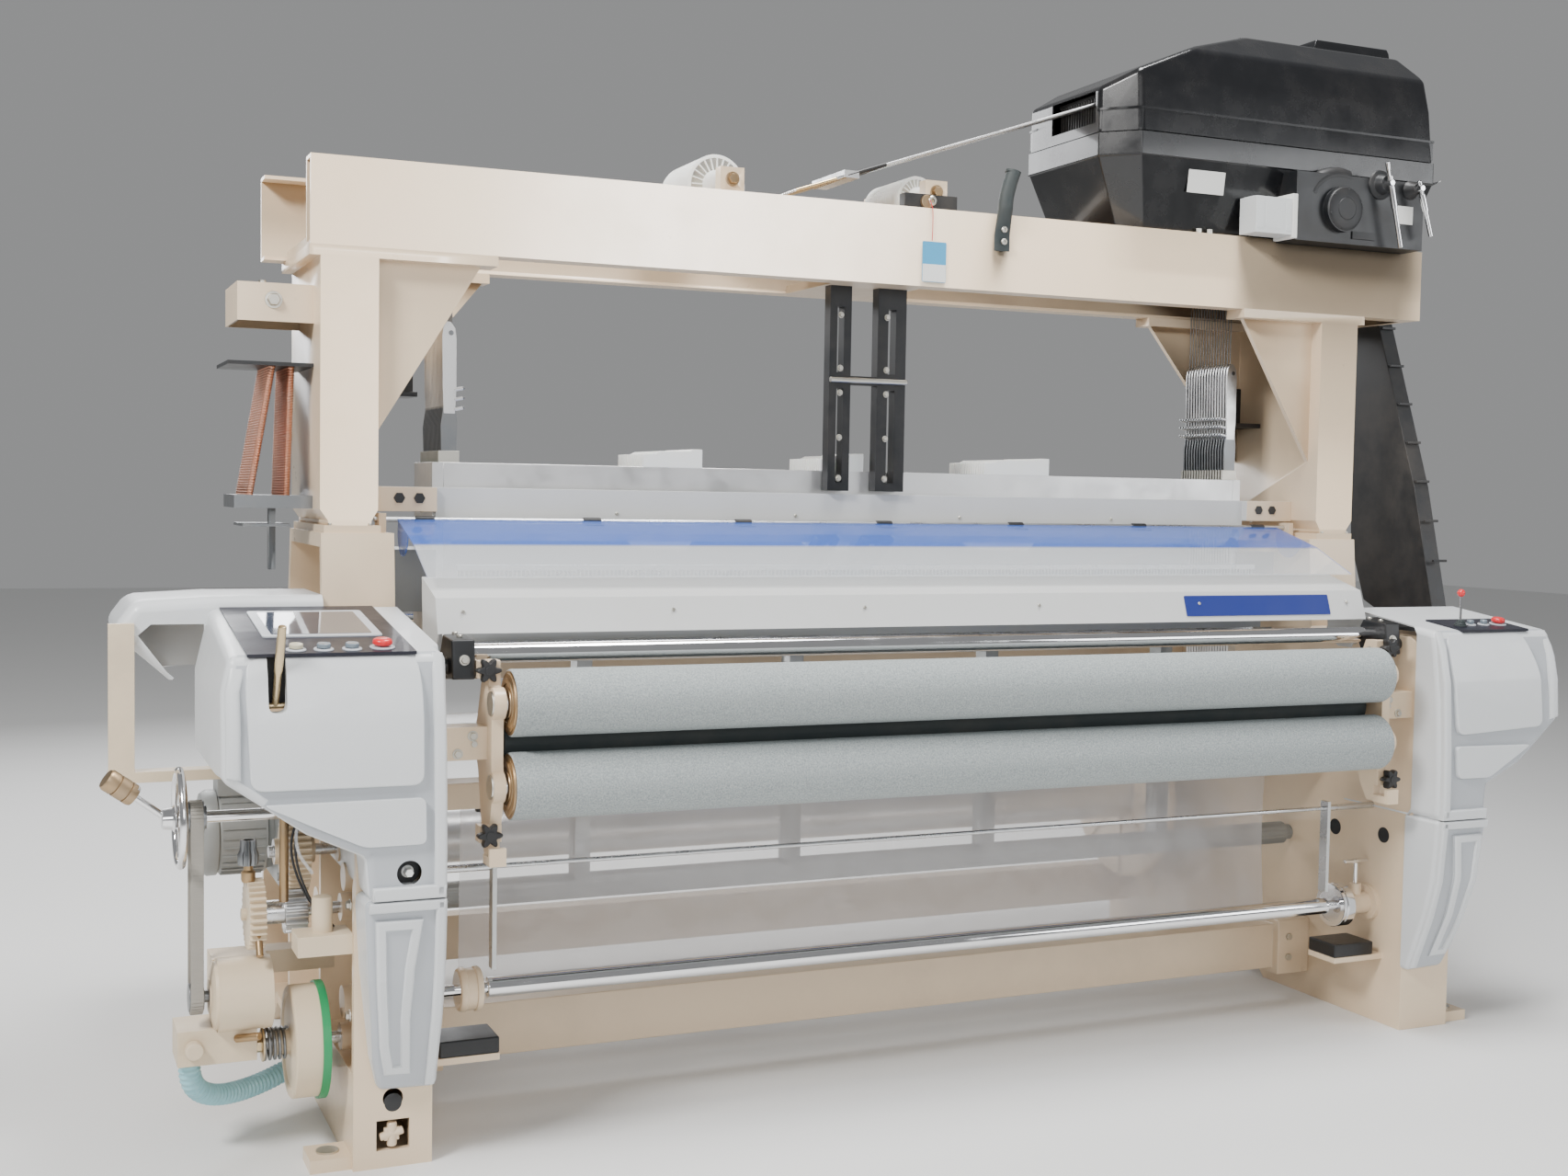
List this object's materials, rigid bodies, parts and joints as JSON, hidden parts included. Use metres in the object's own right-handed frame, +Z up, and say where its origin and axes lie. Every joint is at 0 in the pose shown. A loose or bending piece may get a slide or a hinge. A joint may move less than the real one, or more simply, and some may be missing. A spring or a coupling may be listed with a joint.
{
  "type": "power loom",
  "caption": "Wide water-jet power loom with an overhead dobby, heald frames, take-up rollers, clear splash cover, side covers with switch panels and open gearing on the left.",
  "frame": {"origin": "centre of the four floor anchor holes, at floor level", "axes": "+X along the loom to the weaver's right, -Y towards the weaver, +Z up"},
  "size_m": [3.5265, 1.4609, 2.628],
  "materials": {
    "beige_paint": "beige enamel on castings, satin gloss",
    "beam_paint": "beige enamel on steel beams, satin gloss",
    "cover_grey": "light grey moulded cover, satin",
    "panel_navy": "dark navy switch panel with clear screen",
    "steel": "machined bright steel",
    "chrome": "hard chromed and polished",
    "roller_grit": "grey friction covering, coarse",
    "dark_rubber": "dark rubber covering",
    "black_plastic": "black moulded plastic",
    "gloss_black": "glossy black housing",
    "black_paint": "black enamel",
    "hood_grey": "light grey sheet metal paint",
    "clear_blue": "clear sheet with a blue protective film",
    "clear_film": "clear flexible film",
    "aluminium": "drawn aluminium profile",
    "white_plastic": "white engineering plastic",
    "red_plastic": "red mushroom button",
    "button_dark": "dark green and black push buttons",
    "brass": "brass, slightly tarnished",
    "copper_springs": "copper-coloured coil springs",
    "hose_blue": "translucent blue ribbed hose",
    "gear_beige": "painted cast gear",
    "drum_paint": "painted brake drum",
    "bolt_zinc": "zinc plated"
  },
  "bodies": {
    "frame": {"left_side_frame": "beige_paint", "right_side_frame": "beige_paint", "cross_beams": "beam_paint", "left_arch_post": "beige_paint", "right_arch_post": "beige_paint", "top_beams": "beam_paint", "left_upper_cover": "cover_grey", "right_upper_cover": "cover_grey", "lower_covers": "cover_grey", "control_panels": "panel_navy", "breast_bar": "chrome", "end_blocks": "black_plastic", "front_hood": "hood_grey", "heald_shield": "hood_grey", "drip_film": "clear_film", "roller_brackets": "beige_paint", "dobby_case": "gloss_black", "dobby_cover": "gloss_black", "dobby_gearbox": "black_paint", "belt_guard": "black_paint", "centre_guides": "black_plastic", "return_springs": "copper_springs", "left_gearbox": "beige_paint", "cloth_bracket": "beige_paint", "water_hose": "hose_blue", "frame_bolts": "bolt_zinc", "main_motor": "beam_paint"},
    "upper_roller": {"upper_roller": "roller_grit"},
    "middle_roller": {"middle_roller": "dark_rubber"},
    "lower_roller": {"lower_roller": "roller_grit"},
    "cloth_beam": {"cloth_beam": "chrome"},
    "warp_beam": {"warp_beam": "aluminium"},
    "back_rest_roller": {"back_rest_roller": "steel"},
    "back_rest_levers": {"back_rest_levers": "beige_paint"},
    "sley": {"sley": "aluminium"},
    "handwheel": {"handwheel": "steel"},
    "input_pulley": {"input_pulley": "black_paint"},
    "brake_drum": {"brake_drum": "drum_paint"},
    "take_up_gear": {"take_up_gear": "gear_beige"},
    "take_up_pinion": {"take_up_pinion": "steel"},
    "splash_cover": {"splash_cover": "clear_blue"},
    "stop_button_left": {"stop_button_left": "red_plastic"},
    "stop_button_right": {"stop_button_right": "red_plastic"},
    "left_push_buttons": {"left_push_buttons": "button_dark"},
    "right_push_buttons": {"right_push_buttons": "button_dark"},
    "joystick": {"joystick": "red_plastic"},
    "start_lever": {"start_lever": "brass"},
    "t_handle": {"t_handle": "chrome"},
    "knob_upper_left": {"knob_upper_left": "black_plastic"},
    "knob_lower_left": {"knob_lower_left": "black_plastic"},
    "knob_upper_right": {"knob_upper_right": "black_plastic"},
    "knob_lower_right": {"knob_lower_right": "black_plastic"},
    "dobby_lever_long": {"dobby_lever_long": "chrome"},
    "dobby_lever_short": {"dobby_lever_short": "chrome"},
    "heald_frames_odd": {"heald_frames_odd": "aluminium"},
    "heald_frames_even": {"heald_frames_even": "aluminium"},
    "presser_rod": {"presser_rod": "steel"},
    "sheaves_left": {"sheaves_left": "white_plastic"},
    "sheaves_right": {"sheaves_right": "white_plastic"},
    "drawbars": {"drawbars": "steel"}
  },
  "joints": [
    {"name": "upper_roller_spin", "type": "hinge", "parent": "frame", "child": "upper_roller", "pos_m": [0, -0.686, 0.917], "axis": [1, 0, 0], "continuous": true},
    {"name": "middle_roller_spin", "type": "hinge", "parent": "frame", "child": "middle_roller", "pos_m": [0, -0.5955, 0.834], "axis": [1, 0, 0], "continuous": true},
    {"name": "lower_roller_spin", "type": "hinge", "parent": "frame", "child": "lower_roller", "pos_m": [0, -0.686, 0.751], "axis": [1, 0, 0], "continuous": true},
    {"name": "cloth_beam_spin", "type": "hinge", "parent": "frame", "child": "cloth_beam", "pos_m": [0, -0.52, 0.304], "axis": [1, 0, 0], "continuous": true},
    {"name": "warp_beam_spin", "type": "hinge", "parent": "frame", "child": "warp_beam", "pos_m": [0, 0.43, 0.44], "axis": [1, 0, 0], "continuous": true},
    {"name": "back_rest_rock", "type": "hinge", "parent": "frame", "child": "back_rest_levers", "pos_m": [0, 0.47, 0.88], "axis": [1, 0, 0], "range_deg": [-6, 6]},
    {"name": "back_rest_spin", "type": "hinge", "parent": "back_rest_levers", "child": "back_rest_roller", "pos_m": [0, 0.56, 1], "axis": [1, 0, 0], "continuous": true},
    {"name": "sley_rock", "type": "hinge", "parent": "frame", "child": "sley", "pos_m": [0, -0.2, 0.43], "axis": [1, 0, 0], "range_deg": [-2.5, 9]},
    {"name": "handwheel_spin", "type": "hinge", "parent": "frame", "child": "handwheel", "pos_m": [-1.7, -0.5, 0.69], "axis": [1, 0, 0], "continuous": true},
    {"name": "input_pulley_spin", "type": "hinge", "parent": "frame", "child": "input_pulley", "pos_m": [-1.67, -0.5, 0.335], "axis": [1, 0, 0], "continuous": true},
    {"name": "brake_drum_spin", "type": "hinge", "parent": "frame", "child": "brake_drum", "pos_m": [-1.46, -0.5, 0.227], "axis": [1, 0, 0], "continuous": true},
    {"name": "take_up_gear_spin", "type": "hinge", "parent": "frame", "child": "take_up_gear", "pos_m": [-1.478, -0.45, 0.603], "axis": [1, 0, 0], "continuous": true},
    {"name": "take_up_pinion_spin", "type": "hinge", "parent": "frame", "child": "take_up_pinion", "pos_m": [-1.484, -0.493, 0.49033], "axis": [1, 0, 0], "continuous": true},
    {"name": "splash_cover_open", "type": "hinge", "parent": "frame", "child": "splash_cover", "pos_m": [0, -0.139, 1.268], "axis": [-1, 0, 0], "range_deg": [0, 75]},
    {"name": "stop_button_left_press", "type": "slide", "parent": "frame", "child": "stop_button_left", "axis": [0, 0.1287, -0.9917], "range_m": [0, 0.004], "stiffness_N_per_m": 400, "springref_m": -0.006},
    {"name": "stop_button_right_press", "type": "slide", "parent": "frame", "child": "stop_button_right", "axis": [0, 0.1287, -0.9917], "range_m": [0, 0.004], "stiffness_N_per_m": 400, "springref_m": -0.006},
    {"name": "left_push_buttons_press", "type": "slide", "parent": "frame", "child": "left_push_buttons", "axis": [0, 0.1287, -0.9917], "range_m": [0, 0.004], "stiffness_N_per_m": 300, "springref_m": -0.006},
    {"name": "right_push_buttons_press", "type": "slide", "parent": "frame", "child": "right_push_buttons", "axis": [0, 0.1287, -0.9917], "range_m": [0, 0.004], "stiffness_N_per_m": 300, "springref_m": -0.006},
    {"name": "joystick_tilt", "type": "hinge", "parent": "frame", "child": "joystick", "pos_m": [1.365, -0.68, 1.03149], "axis": [1, 0, 0], "range_deg": [-12, 12]},
    {"name": "start_lever_swing", "type": "hinge", "parent": "frame", "child": "start_lever", "pos_m": [-1.554, -0.714, 0.93], "axis": [1, 0, 0], "range_deg": [-1, 12]},
    {"name": "t_handle_turn", "type": "hinge", "parent": "frame", "child": "t_handle", "pos_m": [1.198, -0.52, 0.414], "axis": [0, 0, 1], "continuous": true},
    {"name": "knob_upper_left_turn", "type": "hinge", "parent": "frame", "child": "knob_upper_left", "pos_m": [-1.14, -0.672, 0.982], "axis": [0, 1, 0], "continuous": true},
    {"name": "knob_lower_left_turn", "type": "hinge", "parent": "frame", "child": "knob_lower_left", "pos_m": [-1.14, -0.69, 0.657], "axis": [0, 1, 0], "continuous": true},
    {"name": "knob_upper_right_turn", "type": "hinge", "parent": "frame", "child": "knob_upper_right", "pos_m": [1.14, -0.672, 0.982], "axis": [0, 1, 0], "continuous": true},
    {"name": "knob_lower_right_turn", "type": "hinge", "parent": "frame", "child": "knob_lower_right", "pos_m": [1.14, -0.69, 0.657], "axis": [0, 1, 0], "continuous": true},
    {"name": "dobby_lever_long_swing", "type": "hinge", "parent": "frame", "child": "dobby_lever_long", "pos_m": [1.392, -0.32, 2.196], "axis": [0, 1, 0], "range_deg": [-8, 8]},
    {"name": "dobby_lever_short_swing", "type": "hinge", "parent": "frame", "child": "dobby_lever_short", "pos_m": [1.497, -0.32, 2.19], "axis": [0, 1, 0], "range_deg": [-8, 8]},
    {"name": "heald_odd_lift", "type": "slide", "parent": "frame", "child": "heald_frames_odd", "axis": [0, 0, 1], "range_m": [-0.04, 0.04]},
    {"name": "heald_even_lift", "type": "slide", "parent": "frame", "child": "heald_frames_even", "axis": [0, 0, 1], "range_m": [-0.0401, 0.0401]},
    {"name": "drawbars_pull", "type": "slide", "parent": "frame", "child": "drawbars", "axis": [0.9456, 0, 0.3252], "range_m": [-0.0401, 0.0401]},
    {"name": "sheaves_left_turn", "type": "hinge", "parent": "frame", "child": "sheaves_left", "pos_m": [-0.446, -0.03, 2.072], "axis": [0, 1, 0], "range_deg": [-32, 32]},
    {"name": "sheaves_right_turn", "type": "hinge", "parent": "frame", "child": "sheaves_right", "pos_m": [0.095, -0.03, 2.086], "axis": [0, 1, 0], "range_deg": [-43, 43]},
    {"name": "presser_swing", "type": "hinge", "parent": "frame", "child": "presser_rod", "pos_m": [0, -0.526, 0.559], "axis": [-1, 0, 0], "range_deg": [0, 30]}
  ],
  "couplings": [
    {"joint": "middle_roller_spin", "follows": "upper_roller_spin", "ratio": -1.2273},
    {"joint": "lower_roller_spin", "follows": "upper_roller_spin", "ratio": 1},
    {"joint": "input_pulley_spin", "follows": "handwheel_spin", "ratio": 1},
    {"joint": "take_up_pinion_spin", "follows": "take_up_gear_spin", "ratio": -2},
    {"joint": "heald_even_lift", "follows": "heald_odd_lift", "ratio": -1},
    {"joint": "drawbars_pull", "follows": "heald_odd_lift", "ratio": 1},
    {"joint": "sheaves_left_turn", "follows": "heald_odd_lift", "rad_per_m": 13.699},
    {"joint": "sheaves_right_turn", "follows": "heald_odd_lift", "rad_per_m": 18.519}
  ]
}
